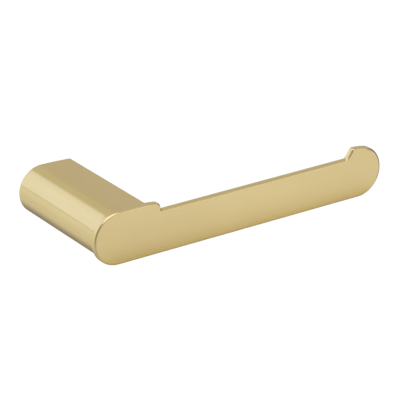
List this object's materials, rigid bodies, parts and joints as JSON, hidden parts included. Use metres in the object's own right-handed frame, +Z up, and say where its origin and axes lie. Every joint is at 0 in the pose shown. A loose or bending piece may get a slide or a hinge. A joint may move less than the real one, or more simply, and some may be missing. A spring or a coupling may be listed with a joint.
{
  "type": "toilet paper holder",
  "caption": "Wall-mounted open-arm toilet roll holder: hollow brushed post with a flat hook-ended arm plate across its front, locked on a hidden wall bracket by a grub screw.",
  "frame": {"origin": "middle of the post's foot on the wall plane, on the bracket's back face", "axes": "+X along the arm towards its hook, +Y into the wall, +Z up"},
  "size_m": [0.1763, 0.0735, 0.028],
  "materials": {
    "brushed_gold": "satin, fine brushed, pale gold",
    "raw_brass": "sawn and brazed, unpolished",
    "bracket_steel": "pressed stainless sheet",
    "screw_steel": "stainless fastener"
  },
  "bodies": {
    "wall_bracket": {"wall_bracket": "bracket_steel"},
    "holder": {"post_tube": "brushed_gold", "front_bulkhead": "raw_brass", "grub_screw_boss": "raw_brass", "arm_plate": "brushed_gold", "arm_screw_left": "screw_steel", "arm_screw_right": "screw_steel", "arm_lock_washer_left": "screw_steel", "arm_lock_washer_right": "screw_steel"},
    "grub_screw": {"grub_screw": "screw_steel"}
  },
  "joints": [
    {"name": "holder_slide_off", "type": "slide", "parent": "wall_bracket", "child": "holder", "axis": [0, -1, 0], "range_m": [0, 0.014]},
    {"name": "grub_screw_travel", "type": "slide", "parent": "holder", "child": "grub_screw", "axis": [0, 0, -1], "range_m": [0, 0.0024]}
  ]
}
